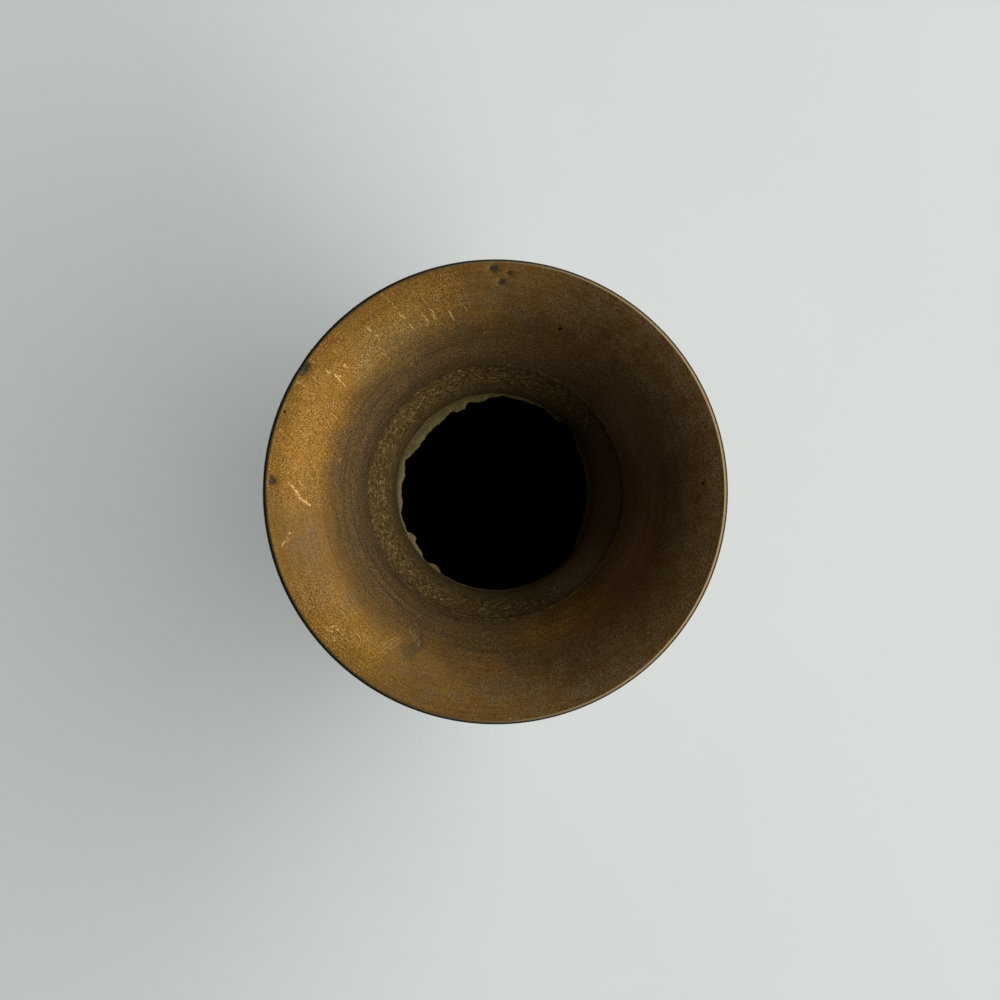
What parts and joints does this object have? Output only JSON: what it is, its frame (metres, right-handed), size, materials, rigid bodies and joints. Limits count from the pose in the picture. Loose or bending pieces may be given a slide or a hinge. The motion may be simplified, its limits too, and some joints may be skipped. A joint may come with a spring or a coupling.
{
  "type": "vase",
  "caption": "Round brass vase with a wide trumpet mouth, beaded neck collar, swelling belly and spreading hollow foot, cast in turned sections and soldered together.",
  "frame": {"origin": "centre of the ring that the foot stands on, on the floor plane", "axes": "+Z up along the axis of the turned body; +X to the right and +Y up in a view from straight above"},
  "size_m": [0.12, 0.12, 0.211],
  "materials": {
    "turned_brass": "lathe-turned, golden-brown patina with dark spots and fine scratches",
    "cast_brass": "rough as cast, olive-brown tarnish",
    "dark_brass": "turned, satin, tarnished in the hollows",
    "solder": "dull grey-cream soft solder"
  },
  "bodies": {
    "root": {"mouth_flare": "turned_brass", "mouth_solder": "solder", "neck_collar": "cast_brass", "throat_solder": "solder", "shoulder_shell": "dark_brass", "belly_solder": "solder", "bowl_shell": "dark_brass", "foot_pedestal": "dark_brass", "foot_solder": "solder"}
  },
  "joints": []
}
